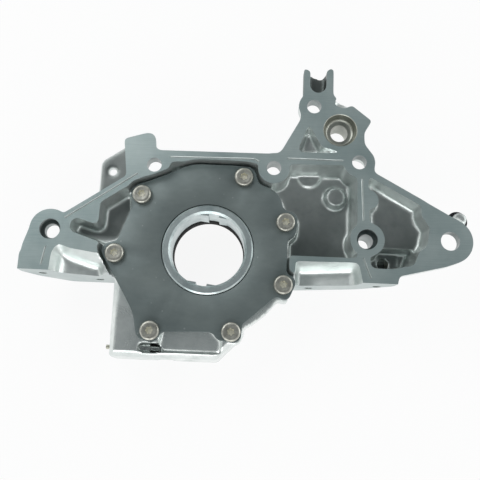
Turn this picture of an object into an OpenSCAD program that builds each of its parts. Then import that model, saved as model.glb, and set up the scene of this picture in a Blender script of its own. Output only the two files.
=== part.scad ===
// Crank-driven engine oil pump, seen from the side that bolts to the engine block.
// Millimetres. The origin is where the crank axis meets the block's mating plane.
// +Z runs along the crank axis towards the block, +Y is up with the engine installed.

/* [Casting] */
// Depth of the casting from the mating face to its front rests
body_depth = 42; // [40:1:48]
// Thickness of the bolting flange
flange_t = 7; // [5:0.5:9]
// Wall thickness of the cast pockets
wall = 4.6; // [3.5:0.1:6]
// Distance of the sump face below the crank axis
sump_drop = 17.5; // [15:0.5:20]
// Depth of the crankcase opening round the rotor housing
opening_depth = 18; // [16:0.5:20]
// Draft of the pocket walls, measured at their floors
pocket_draft = 2.25; // [1:0.25:3]
// Fillet between pocket walls and floors
floor_fillet = 3; // [1:0.5:3]

/* [Rotor cover] */
// How far the cover lies below the mating face
cover_recess = 6; // [5:0.5:8]
// Thickness of the ground steel cover
cover_t = 4; // [3:0.5:6]
// Diameter of the opening round the rotor hub
cover_opening_d = 56.5; // [56.5:0.1:57]
// Rim of casting left round the cover
seat_rim = 0.8; // [0.6:0.1:1.4]
// Thread diameter of the cover screws
screw_d = 6; // [5:0.5:6]
// Head diameter of the cover screws
screw_head_d = 11.6; // [10:0.2:12.4]
// Head height of the cover screws
screw_head_h = 3.4; // [3:0.1:4.2]
// Thread length below the head
screw_len = 14; // [12:0.5:16]

/* [Rotors] */
// Thickness of both rotors
rotor_t = 9.5; // [8:0.5:11]
// Lobes on the inner rotor; the outer one has one more
lobes = 9; // [8:1:10]
// Distance between the two rotor axes
ecc = 2.8; // [2.4:0.1:2.9]
// Direction in which the outer rotor is offset
ecc_angle = 215; // [200:5:230]
// Outer diameter of the outer rotor
outer_rotor_d = 86; // [85:0.5:87]
// Wall of the outer rotor behind its lobes
ring_t = 5; // [4.6:0.1:5.4]
// Radius of each lobe in the outer rotor
lobe_r = 6; // [5.6:0.1:6.2]
// Clearance between meshing lobes
mesh_gap = 0.35; // [0.25:0.05:0.4]
// Clearance at each end face of the rotors
side_gap = 0.1; // [0.05:0.01:0.2]
// Radial clearance of the outer rotor in its chamber
chamber_gap = 0.08; // [0.04:0.01:0.1]

/* [Crank drive] */
// Bore of the inner rotor
drive_bore_d = 45; // [44:0.5:46]
// Width across the two driving flats
flats_w = 41.5; // [40.5:0.5:42.5]
// Width of the notch in the middle of each flat
notch_w = 6.6; // [5:0.2:8]
// Turn of the flats at rest, clockwise from vertical
flats_angle = 7.5; // [0:0.5:15]
// Outside diameter of the rotor hub
hub_d = 55.3; // [54.5:0.1:55.6]
// How far the hub stands proud of the cover
hub_proud = 1; // [0.5:0.1:1.5]
// Diameter of the front journal on the inner rotor
journal_d = 51.9; // [50:0.1:51.9]
// Radial clearance of the front journal
journal_gap = 0.05; // [0.02:0.01:0.1]

/* [Crank seal] */
// Outside diameter of the seal
seal_od = 60; // [58:0.5:62]
// Width of the seal
seal_w = 8; // [7:0.5:9]
// Diameter of the sealing edge
seal_lip_d = 43.6; // [43:0.1:44]
// Thickness of the pressed seal case
case_t = 1.2; // [1:0.1:1.5]
// Wire diameter of the garter spring
garter_wire = 1.6; // [1.2:0.1:1.8]
// Wall of the seal boss outside the seal
seal_boss_wall = 4.7; // [3.5:0.1:6]

/* [Bolt holes] */
// Bolt holes through the flange
bolt_hole_d = 9; // [8.4:0.1:9.6]
// Bolt hole at the end of the arm
arm_hole_d = 11.5; // [11:0.1:12]
// Dowel counterbores at the two outer bolts
dowel_bore_d = 12.5; // [12:0.1:13]
// Depth of the dowel counterbores
dowel_bore_depth = 6; // [5:0.5:8]
// Outside radius of the bolt bosses
boss_r = 9.8; // [9:0.1:10]
// Outside radius of the column at the right dowel
column_r = 10.5; // [10:0.1:11]
// Through bore of the bowl at the upper boss
bowl_bore_d = 11; // [10:0.5:12]
// Rim diameter of the bowl
bowl_d = 20.5; // [19:0.5:22]
// Depth of the bowl
bowl_depth = 6; // [5:0.5:7]
// Core diameter of the tapped M6 holes
tap_d = 5; // [4.8:0.1:5.2]

/* [Relief valve] */
// Bore of the relief valve
relief_d = 9.6; // [9:0.1:10]
// Radial clearance of the relief plunger
plunger_gap = 0.05; // [0.02:0.01:0.1]
// Length of the plunger's pressure land
land_l = 7.5; // [6:0.5:8]
// Length of the plunger's spring cup
cup_l = 8; // [7:0.5:9]
// Length of the plunger's waist
waist_l = 6; // [5:0.5:7]
// Opening travel of the plunger
plunger_travel = 9; // [7:0.5:9]
// Wire diameter of the relief spring
relief_wire = 1; // [0.8:0.1:1.1]
// Turns of the relief spring
relief_turns = 7; // [5:1:8]

/* [Hidden] */
$fn = 64;
eps = 0.01;

// Levels along the crank axis
cover_top_z = -cover_recess;
seat_z = cover_top_z - cover_t;
rotor_top_z = seat_z - side_gap;
chamber_floor_z = rotor_top_z - rotor_t - side_gap;
housing_floor_t = 4;
cover_room = 0.5;
seal_top_z = floor(chamber_floor_z - housing_floor_t);
seal_front_z = seal_top_z - seal_w - 0.6;
hub_top_z = cover_top_z + hub_proud;
opening_floor_z = -opening_depth;
front_z = -body_depth;

// Rotors and the seal's section
root_gap = 0.1;
ring_root_r = outer_rotor_d / 2 - ring_t;
lobe_circle_r = ring_root_r - 2 * ecc + lobe_r - root_gap;
housing_r = outer_rotor_d / 2 + 7;
seal_bond = 0.02;
seal_section = (seal_od - seal_lip_d) / 2 - case_t;
garter_r = seal_lip_d / 2 + seal_section * 0.557;
garter_z = seal_top_z - seal_w * 0.3;
case_in_r = seal_lip_d / 2 + seal_section * 0.4;

// Plan positions
ecc_xy = ecc * [cos(ecc_angle), sin(ecc_angle)];
bolt_left = [-95, 7.5];
bolt_tab = [-35, 50.5];
bolt_top = [38.5, 51.5];
bolt_stem = [62.5, 93];
bolt_upper = [91, 57.5];
bolt_column = [96, 9];
bolt_arm = [146, 10];
bowl_xy = [79, 78];
lug_hole_xy = [-64, 51.5];
lug_z = -20;
lug_t = 5;
cover_screws = [[-42, 32.6], [20.3, 46.3], [46.9, 18.6], [46.4, -20], [16.3, -49.4], [-31.7, -50.5], [-56, -4.8]];
sump_screw_x = [-100, -68, 64, 104];
front_boss_xy = [[-16, 53], [62, 53], [-72, 16]];
arm_boss_xy = [153, 24.5];

// Outline of the bolting flange, clockwise from the top left tab: x, y and corner radius
flange_pts = [
    [-51.6, 42.8, 1], [-54.6, 66.6, 2], [-35.2, 72.7, 6], [-34.8, 60, 3], [41.7, 60.8, 6], [54, 83.8, 3],
    [55.5, 99, 3], [55.6, 118.6, 0.8], [66.8, 114.2, 3], [72.9, 119.6, 1.6], [74.4, 118, 0.6],
    [74.4, 100.4, 3], [86, 94.9, 8], [98.6, 84.9, 0.8], [94, 77, 5], [94.1, 69.5, 6], [100.2, 61.5, 4],
    [100.3, 51.2, 1.5], [152.8, 22, 1], [151, -2.9, 1], [143, -5.9, 12], [115.2, -12.7, 1.5],
    [114.4, -sump_drop, 3], [-112, -sump_drop, 0.5], [-110.6, -3, 20], [-107, 9, 8], [-96, 19.4, 3],
    [-87.8, 17.5, 2]];

// Opening round the rotor housing, clockwise from the left pocket's tip
opening_pts = [
    [-84, 6.8, 3.6], [-82.6, 16.4, 4.6], [-66.6, 11.4, 2.2], [-66.4, 25.4, 2.6], [-40.6, 43.2, 3],
    [-27.6, 43.8, 5], [-25, 53.3, 3], [90, 55.4, 3], [90.2, -4, 1.5], [50, -4, 1], [50, -26, 1],
    [-57, -26, 1], [-57, -2, 2]];

// Slope of the opening's floor, which is deepest at the lower right
opening_tilt = [0.045, -0.02];

// Pocket between the flange, the upper bolt and the bowl
triangle_pts = [[59.2, 83, 1.6], [69, 66, 4], [90.4, 69.4, 2], [90.4, 62.6, 2.4], [51.4, 61.6, 3]];

// Pocket in the arm, and its deeper lower half
arm_pts = [
    [96, 50, 1.6], [129.6, 31.6, 3], [129.2, 25.4, 4], [134.4, 18, 3], [132.4, 6, 4], [127.4, 2.2, 3],
    [124.6, -6, 3.5], [111.6, -9, 4], [97.6, -9, 3.4]];
arm_deep_pts = [
    [99.8, 7.2, 2], [131.2, 7.2, 2], [130.4, 5.4, 2], [125.9, 3.4, 3], [123.1, -5, 3], [111.2, -7.7, 4],
    [99.2, -7.6, 3]];

// Pockets that open towards the sump, left and right of the rotor housing
left_sump_pts = [
    [-96, -26, 1], [-94.6, -6, 8], [-90.5, 1.2, 6], [-81, -2.4, 5], [-62, -6.6, 2], [-56.6, -17, 2],
    [-56.6, -26, 1]];
right_sump_pts = [[52.8, -26, 1], [52.8, -5.6, 1.5], [91.4, -5.4, 2.4], [97, -26, 1]];

// Front edge of the sump flange, seen along Y: x and z
sump_arc_pts = [
    [-112, 0, 0.3], [114.4, 0, 0.3], [113, -9, 4], [94, -26, 20], [56, -body_depth, 12],
    [-88, -body_depth, 6], [-105, -24, 12], [-112, -9, 3]];

// Outline of the rotor cover, clockwise from the screw at the upper left
cover_pts = [
    [-49.8, 37.6, 6.4], [-38.4, 41.8, 4], [-27.6, 46.4, 20], [-13, 54, 30], [13, 54, 26], [26, 53.4, 5],
    [30, 42.8, 4], [42.4, 37.6, 14], [45.6, 27, 4], [54.8, 24.6, 6], [53.4, 11.4, 5], [48.4, 8, 4],
    [48.2, -12.4, 4], [55, -16.6, 6], [49.6, -29.6, 5], [42.4, -27, 4], [22.8, -44.6, 4],
    [22.4, -56.4, 6], [8.4, -54, 5], [5, -49.6, 5], [-25, -50.4, 5], [-28.6, -58, 5.5], [-39.6, -54.6, 6],
    [-42.4, -40, 30], [-51, -25.6, 40], [-66.6, -0.4, 6.4], [-55, 3.6, 4], [-47.6, 25, 4]];

// Block below the sump face that holds the relief valve and the suction port
block_pts = [[-57, -10, 2], [-57, -66.2, 1.6], [8.4, -66.2, 1], [24.6, -49.6, 2], [24, -10, 2]];
recess_pts = [[-28, -63.6, 1], [-26, -46, 1], [4, -46, 1], [11.8, -54, 4], [12, -62, 2], [9, -63.4, 1]];

// Top left lug behind the flange
lug_pts = [[-72, 33, 1], [-72, 58, 6], [-56, 69.4, 3], [-40, 60, 3], [-44, 40, 3], [-60, 30, 3]];

// Relief valve
relief_y = -60.1;
relief_z = -20;
relief_face_x = -57;
window_x = [-38.8, -25.4];
window_w = 5.2;
land_end_x = window_x[1] + 6.9;
waist_x = land_end_x - land_l;
cup_x = waist_x - waist_l;
cup_mouth_x = cup_x - cup_l;
cup_floor_x = cup_x - 1;
snap_ring_t = 1.1;
retainer_t = 3;
ring_x = relief_face_x + 1.6;
retainer_x = ring_x + snap_ring_t;
spring_x = retainer_x + retainer_t + 0.1;
plunger_r = relief_d / 2 - plunger_gap;
cup_bore_r = plunger_r - 1.3;
spring_r = cup_bore_r - relief_wire / 2 - 0.25;
pilot_r = 3.4;
passage_x = -8;

// Suction and outlet passages
suction_x = -24;
suction_z = -34;
suction_r = 6;
strainer_pitch = 30;
gallery_y = -1;
gallery_z = -30.5;
gallery_r = 5;
gallery_wall = 3.4;
gallery_end_x = 119;
outlet_xy = [110, -1.5];

function unit(v) = v / norm(v);
function left(v) = [-v[1], v[0]];
function xy(p) = [p[0], p[1]];
function area2(p) = [for (i = [0:len(p) - 1]) cross(xy(p[i]), xy(p[(i + 1) % len(p)]))];
function total(v) = v * [for (i = [0:len(v) - 1]) 1];
function backwards(p) = [for (i = [len(p) - 1:-1:0]) p[i]];
function ccw(p) = total(area2(p)) < 0 ? backwards(p) : p;

// One rounded corner of an outline, as n + 1 points
function corner(a, p, b, r, n) =
    let (e1 = unit(p - a), e2 = unit(b - p), phi = atan2(cross(e1, e2), e1 * e2),
        room = 0.49 * min(norm(p - a), norm(b - p)), want = abs(tan(phi / 2)),
        rr = min(r, room / max(want, 0.001)), s = p - e1 * rr * want,
        side = phi < 0 ? -1 : 1, c = s + side * rr * left(e1),
        a0 = atan2(s[1] - c[1], s[0] - c[0]))
    [for (i = [0:n]) c + rr * [cos(a0 + phi * i / n), sin(a0 + phi * i / n)]];

// An outline of corners [x, y, radius] with each corner turned into an arc
function rounded(pts, n = 5) =
    let (p = ccw(pts), m = len(p))
    [for (i = [0:m - 1]) each corner(xy(p[(i + m - 1) % m]), xy(p[i]), xy(p[(i + 1) % m]), p[i][2], n)];

// The same outline moved inwards by d, with its radii kept parallel
function inset(pts, d) =
    let (p = ccw(pts), m = len(p))
    [for (i = [0:m - 1])
        let (a = xy(p[(i + m - 1) % m]), q = xy(p[i]), b = xy(p[(i + 1) % m]),
            n1 = left(unit(q - a)), n2 = left(unit(b - q)), s = cross(q - a, b - q) < 0 ? -1 : 1,
            v = q + d * (n1 + n2) / (1 + n1 * n2))
        [v[0], v[1], max(p[i][2] - s * d, 0.3)]];

// Solid through a stack of rings with equal numbers of points, from the top one down
module loft(rings) {
    n = len(rings[0]);
    m = len(rings);
    polyhedron(
        points = [for (r = rings) each r],
        faces = concat(
            [[for (i = [n - 1:-1:0]) i]],
            [for (k = [0:m - 2]) for (i = [0:n - 1]) each [
                [k * n + i, k * n + (i + 1) % n, (k + 1) * n + (i + 1) % n],
                [k * n + i, (k + 1) * n + (i + 1) % n, (k + 1) * n + i]]],
            [[for (i = [0:n - 1]) (m - 1) * n + i]]));
}

// Depth of a pocket at a point, where its floor slopes by tilt per millimetre from the origin xy
function depth_at(p, depth, tilt, at) = depth + tilt * (p - at);

function ring(pts, d, share, top, depth, tilt, at, n) =
    [for (q = rounded(inset(pts, d), n)) [q[0], q[1], top - share * depth_at(q, depth, tilt, at)]];

// Cast pocket: drafted walls, a filleted floor and a floor that may slope
module pocket(pts, depth, draft = pocket_draft, fillet = floor_fillet, tilt = [0, 0], at = [0, 0], n = 4) {
    steps = 3;
    loft(concat(
        [[for (q = rounded(inset(pts, -draft * 0.15), n)) [q[0], q[1], 1.2]]],
        [ring(pts, 0, 0, 0, depth, tilt, at, n)],
        [for (i = [0:steps]) let (a = 90 * i / steps)
            ring(pts, draft + fillet * (1 - cos(a)), 1 - fillet / depth * (1 - sin(a)), 0, depth, tilt, at, n)]));
}

// Cast shell round a pocket: drafted walls that end in a rounded front
module shell(pts, depth, grow, draft = pocket_draft, fillet = 3, tilt = [0, 0], at = [0, 0], n = 3) {
    steps = 2;
    loft(concat(
        [ring(pts, -grow, 0, -1, depth, tilt, at, n)],
        [for (i = [0:steps]) let (a = 90 * i / steps)
            ring(pts, -grow + draft + fillet * (1 - cos(a)), 1 - fillet / depth * (1 - sin(a)), 0,
                depth, tilt, at, n)]));
}

module slab(pts, top, bottom, n = 5) {
    translate([0, 0, bottom]) linear_extrude(top - bottom) polygon(rounded(pts, n));
}

module post(at, r, top, bottom) {
    translate([at[0], at[1], bottom]) cylinder(r = r, h = top - bottom);
}

// Extrudes a shape drawn in X and Z along Y, from y0 to y1
module along_y(y0, y1) {
    translate([0, y1, 0]) rotate([90, 0, 0]) linear_extrude(y1 - y0) children();
}

module rod_x(x0, x1, r, y, z) {
    translate([x0, y, z]) rotate([0, 90, 0]) cylinder(r = r, h = x1 - x0);
}

module rod_y(y0, y1, r, x, z) {
    translate([x, y0, z]) rotate([-90, 0, 0]) cylinder(r = r, h = y1 - y0);
}

// Flange face and the walls of the tray behind it, cut off at the sump face
module casting_skin() {
    difference() {
        union() {
            skin_walls();
            sump_flange();
        }
        translate([-150, -sump_drop - 60, -60]) cube([320, 60, 70]);
    }
}

module skin_walls() {
    slab(flange_pts, 0, -flange_t);
    post(bolt_left, 12.4, 0, -flange_t - 6);
    post(bolt_stem, 9.7, 0, -flange_t - 2);
    post(bolt_arm, 13.8, 0, -flange_t);
    shell(opening_pts, opening_depth + wall, wall, tilt = opening_tilt);
    shell(triangle_pts, 9 + wall, wall);
    shell(arm_pts, 13 + wall, wall - 1, tilt = [0, -0.12], at = bolt_column);
    shell(arm_deep_pts, 24 + wall, wall - 1);
    slab([[91, 1, 1], [99.5, 1, 1], [99.5, 50, 1], [91, 50, 1]], 0, -15);
    shell(left_sump_pts, 12 + wall, wall - 1, tilt = [0.36, 0], at = [-80, 0]);
    shell(right_sump_pts, 16 + wall, wall - 1, tilt = [-0.3, 0], at = [75, 0]);
}

// Bar that carries the sump face, with its arched front edge
module sump_flange() {
    along_y(-sump_drop - 2, -sump_drop + 10) polygon(rounded(sump_arc_pts, 6));
}

// Pockets sunk into the skin from the mating face
module casting_pockets() {
    pocket(opening_pts, opening_depth, draft = 1.4, tilt = opening_tilt);
    pocket(triangle_pts, 9, draft = 2, fillet = 3);
    pocket(arm_pts, 13, tilt = [0, -0.12], at = bolt_column);
    pocket(arm_deep_pts, 24, draft = 1.2);
    pocket(left_sump_pts, 12, draft = 5, fillet = 5, tilt = [0.36, 0], at = [-80, 0]);
    pocket(right_sump_pts, 16, draft = 2.5, fillet = 3, tilt = [-0.3, 0], at = [75, 0]);
    slab([[74.6, 96.4, 1], [79, 101, 1], [89, 96, 1], [81.4, 92.4, 1.5], [77, 93.6, 2]], 1, -4.5);
}

// Rotor housing, its block and the bosses that stand in the opening
module housing() {
    slab(inset(cover_pts, -seat_rim), seat_z, seal_top_z);
    post([0, 0], housing_r, seat_z, seal_top_z);
    intersection() {
        post([0, 0], housing_r + 2.4, seat_z, seal_top_z);
        translate([4, -60, front_z]) cube([60, 43, body_depth]);
    }
    post([0, 0], seal_od / 2 + seal_boss_wall, chamber_floor_z, seal_front_z);
    block();
    post(bolt_top, boss_r, 0, opening_floor_z - 1);
    post(bolt_upper, boss_r, 0, opening_floor_z - 3);
    post(bolt_column, column_r, 0, -28);
    translate([bowl_xy[0], bowl_xy[1], -10]) cylinder(r1 = 17, r2 = 13.2, h = 10);
    post(bowl_xy, 13.2, -5, -20);
    post([96.5, 33.8], 6.3, 0, -14);
    translate([78.7, 39, opening_floor_z - 5]) cylinder(r1 = 7.6, r2 = 5.8, h = 9);
    difference() {
        union() {
            slab([[48.6, -2.8, 0.5], [92, -2.8, 0.5], [92, -5.5, 0.5], [48.6, -5.5, 0.5]], 0, opening_floor_z);
            slab([[48.6, -2.8, 0.5], [53, -2.8, 0.5], [53, -sump_drop, 0.5], [48.6, -sump_drop, 0.5]], 0, -26);
        }
        room_round_cover();
    }
}

// Room that the skin leaves round the cover and its screws
module room_round_cover() {
    slab(inset(cover_pts, -seat_rim - cover_room), 1, seat_z - 0.4);
}

module block() {
    loft([for (s = [[3.4, seat_z], [0.6, seat_z - 4.5], [0, seat_z - 12], [0, front_z + 2], [2, front_z]])
        [for (q = rounded(inset(block_pts, s[0]), 4)) [q[0], q[1], s[1]]]]);
}

// What stands on the front side: rests, ribs, gallery and lugs
module front_details() {
    slab(lug_pts, lug_z, lug_z - lug_t);
    post(arm_boss_xy, 4.4, -2, -flange_t - 2);
    rod_x(44, gallery_end_x, gallery_r + gallery_wall, gallery_y, gallery_z);
    translate([30, gallery_y - 8.5, gallery_z]) cube([20, 17, -gallery_z + seat_z - 2]);
    rod_x(30, 50, 8.5, gallery_y, gallery_z);
    for (p = front_boss_xy)
        translate([p[0], p[1], front_z]) cylinder(r1 = 6, r2 = 7.2, h = body_depth - opening_depth);
    for (a = [35:50:185]) rotate(a)
        translate([30, -1.6, seal_front_z + 4]) cube([19, 3.2, chamber_floor_z - seal_front_z - 5]);
    suction_boss();
}

// Thickened floor over the suction port
module suction_boss() {
    loft([for (s = [[0, seal_top_z + 1.5], [0, front_z + 3], [2.4, front_z]])
        [for (q = rounded(inset([[-40, -56, 4], [-6, -56, 4], [-10, -33, 6], [-34, -30, 6]], s[0]), 3))
            [q[0], q[1], s[1]]]]);
}

module bolt_hole(at, d = bolt_hole_d) {
    post(at, d / 2, 2, front_z - 2);
}

// Clearances, channels and ports that are cast or roughed out
module rough_cuts() {
    spotfaces();
    stem_channel();
    port(128, 262, -2);
    port(-48, 72, -2);
    post([0, 0], seal_od / 2 + 1, seal_front_z + 1, front_z - 1);
    post(ecc_xy, outer_rotor_d / 2 - 2, seat_z + 1, chamber_floor_z + 1);
    post([0, 0], journal_d / 2 - 1, chamber_floor_z + 2, front_z - 1);
    relief_window();
    pocket(recess_pts, 14, draft = 1, fillet = 1.6);
    translate([-150, -100, 0]) cube([320, 250, 10]);
}

// As-cast body before the bores are machined, merged into one mesh
module rough_casting() {
    $fn = 32;
    resize([0, 0, 0]) difference() {
        union() {
            difference() {
                casting_skin();
                casting_pockets();
                room_round_cover();
            }
            housing();
            front_details();
        }
        rough_cuts();
    }
}

// Bores that take bolts, dowels and plugs
module machined_bores() {
    for (p = [bolt_left, bolt_tab, bolt_top, bolt_stem, bolt_upper, bolt_column])
        bolt_hole(p);
    bolt_hole(bolt_arm, arm_hole_d);
    for (p = [bolt_left, bolt_column])
        post(p, dowel_bore_d / 2, 1, -dowel_bore_depth);
    post(bowl_xy, bowl_bore_d / 2, 1, front_z);
    bowl();
    post(lug_hole_xy, tap_d / 2, lug_z + 1, lug_z - lug_t - 1);
    for (p = [front_boss_xy[0], front_boss_xy[1]])
        post(p, tap_d / 2, front_z + 14, front_z - 1);
    for (x = sump_screw_x)
        rod_y(-sump_drop - 1, -sump_drop + 9, tap_d / 2, x, sump_screw_z(x));
    for (s = [-1, 1])
        rod_y(-67.5, -56, tap_d / 2, suction_x + s * strainer_pitch / 2, suction_z);
}

// Tapped holes keep to the middle of the sump flange, which is shallow at its ends
function sump_screw_z(x) = abs(x) > 90 ? -13 : -30;

// Turned bowl in the upper boss
module bowl() {
    mid = (bowl_d + bowl_bore_d) / 4;
    translate([bowl_xy[0], bowl_xy[1], 0]) rotate_extrude()
        polygon(concat([[0, 1], [bowl_d / 2 + 0.5, 1], [bowl_d / 2 + 0.5, 0]],
            [for (a = [0:15:90]) [mid - 0.6 + (bowl_d / 2 - mid + 0.6) * cos(a), -bowl_depth * sin(a)]],
            [[0, -bowl_depth]]));
}

// Half-round channel down the top stem
module stem_channel() {
    y = 107.4;
    translate([64.8, y, -6]) cylinder(r = 5.1, h = 8);
    translate([64.8 - 5.1, y, -6]) cube([10.2, 20, 8]);
}

// Flats under the bolt heads on the front side
module spotfaces() {
    post(bolt_tab, 8.7, -flange_t - 2, front_z);
    post(bolt_top, 8.8, -12, front_z);
    post(bolt_upper, 7.6, -flange_t - 1, front_z);
    post(bolt_left, 9.8, -flange_t - 4, front_z);
    post(bolt_column, 9.4, -24, front_z - 1);
}

module rotor_bores() {
    post(ecc_xy, outer_rotor_d / 2 + chamber_gap, seat_z + 1, chamber_floor_z);
    post([0, 0], journal_d / 2 + journal_gap, chamber_floor_z + 1, seal_top_z - 1);
    post([0, 0], seal_od / 2, seal_top_z, seal_front_z - 1);
    for (p = cover_screws)
        post(p, tap_d / 2, seat_z + 1, seat_z - screw_len + cover_t - 1.5);
}

// Kidney port in the chamber floor, from one angle to another
module port(a0, a1, depth) {
    steps = 12;
    translate([0, 0, chamber_floor_z + depth]) linear_extrude(1 - depth)
        polygon(concat(
            [for (i = [0:steps]) let (a = a0 + (a1 - a0) * i / steps) (ring_root_r - 1) * [cos(a), sin(a)]],
            [for (i = [steps:-1:0]) let (a = a0 + (a1 - a0) * i / steps) (ring_root_r - 7.5) * [cos(a), sin(a)]]));
}

// Slot through which the relief valve spills
module relief_window() {
    hull() for (x = [window_x[0] + window_w / 2, window_x[1] - window_w / 2])
        translate([x, relief_y, relief_z]) cylinder(r = window_w / 2, h = seat_z - relief_z + 1);
}

// Relief valve bore and the drilled oil passages
module passages() {
    rod_x(relief_face_x - 1, land_end_x + 0.3, relief_d / 2, relief_y, relief_z);
    rod_x(land_end_x - 1, passage_x, pilot_r - 0.3, relief_y, relief_z);
    rod_x(ring_x - 0.05, ring_x + snap_ring_t + 0.05, relief_d / 2 + 0.7, relief_y, relief_z);
    rod_y(-67.5, -34, pilot_r, passage_x, relief_z - 4);
    rod_y(-67.5, -26, suction_r, suction_x, suction_z);
    post([suction_x, -25.5], 4.6, chamber_floor_z + 1, suction_z);
    rod_x(33, gallery_end_x + 1, gallery_r, gallery_y, gallery_z);
    post([34, gallery_y], 3.2, chamber_floor_z + 1, gallery_z);
    post(outlet_xy, 3.6, -20, gallery_z);
}

module pump_body() {
    color("silver") difference() {
        rough_casting();
        machined_bores();
        rotor_bores();
        passages();
        post(arm_boss_xy, 3, -3, -flange_t - 3);
    }
}

module cover_plate() {
    color("dimgray") difference() {
        slab(cover_pts, cover_top_z, seat_z);
        post([0, 0], cover_opening_d / 2, 0, seat_z - 1);
        for (p = cover_screws)
            post(p, screw_d / 2 + 0.3, 0, seat_z - 1);
    }
}

// Pan-head screw with a six-lobed recess
module cover_screw(i) {
    edge = 1.2;
    r = screw_head_d / 2;
    at = cover_screws[i];
    color("darkgray") translate([at[0], at[1], cover_top_z + 0.02]) difference() {
        union() {
            rotate_extrude() polygon(concat(
                [[0, 0], [r, 0], [r, screw_head_h - edge * 1.6]],
                [for (a = [15:25:90]) [r - edge + edge * cos(a), screw_head_h - edge * 1.6 + edge * sin(a)]],
                [[0, screw_head_h]]));
            translate([0, 0, -screw_len]) cylinder(r = tap_d / 2 - 0.05, h = screw_len + 1);
        }
        for (a = [0:60:300])
            rotate(a + 12 * i) translate([1.55, 0, screw_head_h - 1.8]) cylinder(r = 0.75, h = 3, $fn = 24);
        translate([0, 0, screw_head_h - 1.8]) cylinder(r = 1.7, h = 3);
    }
}

// Point on the inner rotor's flank: the path of the lobe circle, moved inwards by the lobe's radius
function flank(t) =
    let (z = lobes + 1,
        p = lobe_circle_r * [cos(t), sin(t)] + ecc * [cos(z * t), sin(z * t)],
        d = unit(lobe_circle_r * [-sin(t), cos(t)] + z * ecc * [-sin(z * t), cos(z * t)]))
    p - (lobe_r + mesh_gap) * [d[1], -d[0]];

// Parameter of the flank at a share of the way round, with more points where the root curves tightly
function flank_turn(u) = (u + 0.85 * sin(360 * u) / (2 * PI)) * 360 / lobes;

module inner_rotor() {
    steps = 20;
    hub_r = hub_d / 2;
    chamfer = 0.9;
    color("lightslategray") rotate(rotor_phase) difference() {
        union() {
            translate([0, 0, rotor_top_z - rotor_t]) linear_extrude(rotor_t)
                polygon([for (i = [0:steps * lobes - 1]) flank(flank_turn(i / steps))]);
            translate([0, 0, rotor_top_z - eps]) cylinder(r = hub_r, h = hub_top_z - rotor_top_z - chamfer + eps);
            translate([0, 0, hub_top_z - chamfer]) cylinder(r1 = hub_r, r2 = hub_r - chamfer, h = chamfer);
            translate([0, 0, seal_top_z + 0.6])
                cylinder(r = journal_d / 2, h = rotor_top_z - rotor_t - seal_top_z);
        }
        rotate(-rotor_phase) drive_bore();
    }
}

// Turn of the rotors at rest that brings a lobe of the inner one into mesh
rotor_phase = ecc_angle;

module drive_bore() {
    h = 60;
    bore_r = drive_bore_d / 2;
    difference() {
        translate([0, 0, -h / 2 - 10]) cylinder(r = bore_r, h = h);
        rotate(-flats_angle) for (s = [-1, 1]) for (t = [-1, 1])
            translate([t * (notch_w / 2 + 15) - 15, s * (flats_w / 2 + 5) - 5, -h]) cube([30, 10, 2 * h]);
    }
    translate([0, 0, hub_top_z - 1.4]) cylinder(r1 = bore_r - eps, r2 = bore_r + 1.4, h = 1.5);
}

// Ring with round inward lobes that the inner rotor rolls against
module outer_rotor() {
    z = lobes + 1;
    color("slategray") translate([ecc_xy[0], ecc_xy[1], rotor_top_z - rotor_t]) rotate(rotor_phase)
        linear_extrude(rotor_t) difference() {
            circle(r = outer_rotor_d / 2);
            difference() {
                circle(r = ring_root_r);
                for (i = [0:z - 1])
                    rotate(360 * i / z) translate([lobe_circle_r, 0]) circle(r = lobe_r);
            }
        }
}

// Pressed steel case of the crank seal
module seal_case() {
    r = seal_od / 2;
    top = seal_top_z - 0.15 * seal_w;
    foot = seal_top_z - seal_w + 0.4;
    color("darkslategray") rotate_extrude() polygon([
        [r - case_t, top], [r - case_t, foot + case_t], [case_in_r, foot + case_t], [case_in_r, foot],
        [r - 0.3, foot], [r, foot + 0.4], [r, top]]);
}

// Rubber body of the seal with its sealing edge and dust edge
module seal_lip() {
    lip = seal_lip_d / 2;
    r = seal_od / 2 - case_t - seal_bond;
    u = seal_section;
    v = seal_w;
    foot = seal_top_z - seal_w + 0.4;
    color("black") rotate_extrude() difference() {
        polygon(concat(
            [[r, foot + case_t]],
            [for (q = [[1, -0.125], [0.857, -0.075], [0.857, -0.55], [0.657, -0.575], [0.486, -0.125],
                [0.171, -0.1], [0, -0.325], [0.2, -0.575], [0.114, -0.9], [0.043, -1], [0.171, -1.05]])
                [lip + (q[0] == 1 ? r - lip : q[0] * u), seal_top_z + q[1] * v]],
            [[case_in_r - seal_bond, foot], [case_in_r - seal_bond, foot + case_t]]));
        translate([garter_r, garter_z]) circle(r = garter_wire / 2 + seal_bond);
    }
}

// Coiled ring that presses the lip onto the crank
module garter_spring() {
    color("gray") rotate_extrude() translate([garter_r, garter_z]) circle(r = garter_wire / 2);
}

// Spool with a pressure land, a waist and a spring cup
module relief_plunger() {
    color("lightgray") difference() {
        union() {
            rod_x(waist_x, land_end_x, plunger_r, relief_y, relief_z);
            rod_x(cup_x - eps, waist_x + eps, plunger_r - 1.9, relief_y, relief_z);
            rod_x(cup_mouth_x, cup_x, plunger_r, relief_y, relief_z);
        }
        rod_x(cup_mouth_x - 1, cup_floor_x, cup_bore_r, relief_y, relief_z);
    }
}

// Compression spring between the retainer and the plunger's cup
module relief_spring() {
    sides = 8;
    per_turn = 16;
    x0 = spring_x + relief_wire / 2;
    x1 = cup_floor_x - relief_wire / 2 - 0.1;
    steps = relief_turns * per_turn;
    color("gainsboro") translate([0, relief_y, relief_z]) tube([for (i = [0:steps])
        let (a = 360 * i / per_turn) [x0 + (x1 - x0) * i / steps, spring_r * cos(a), spring_r * sin(a)]],
        relief_wire / 2, sides);
}

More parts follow.
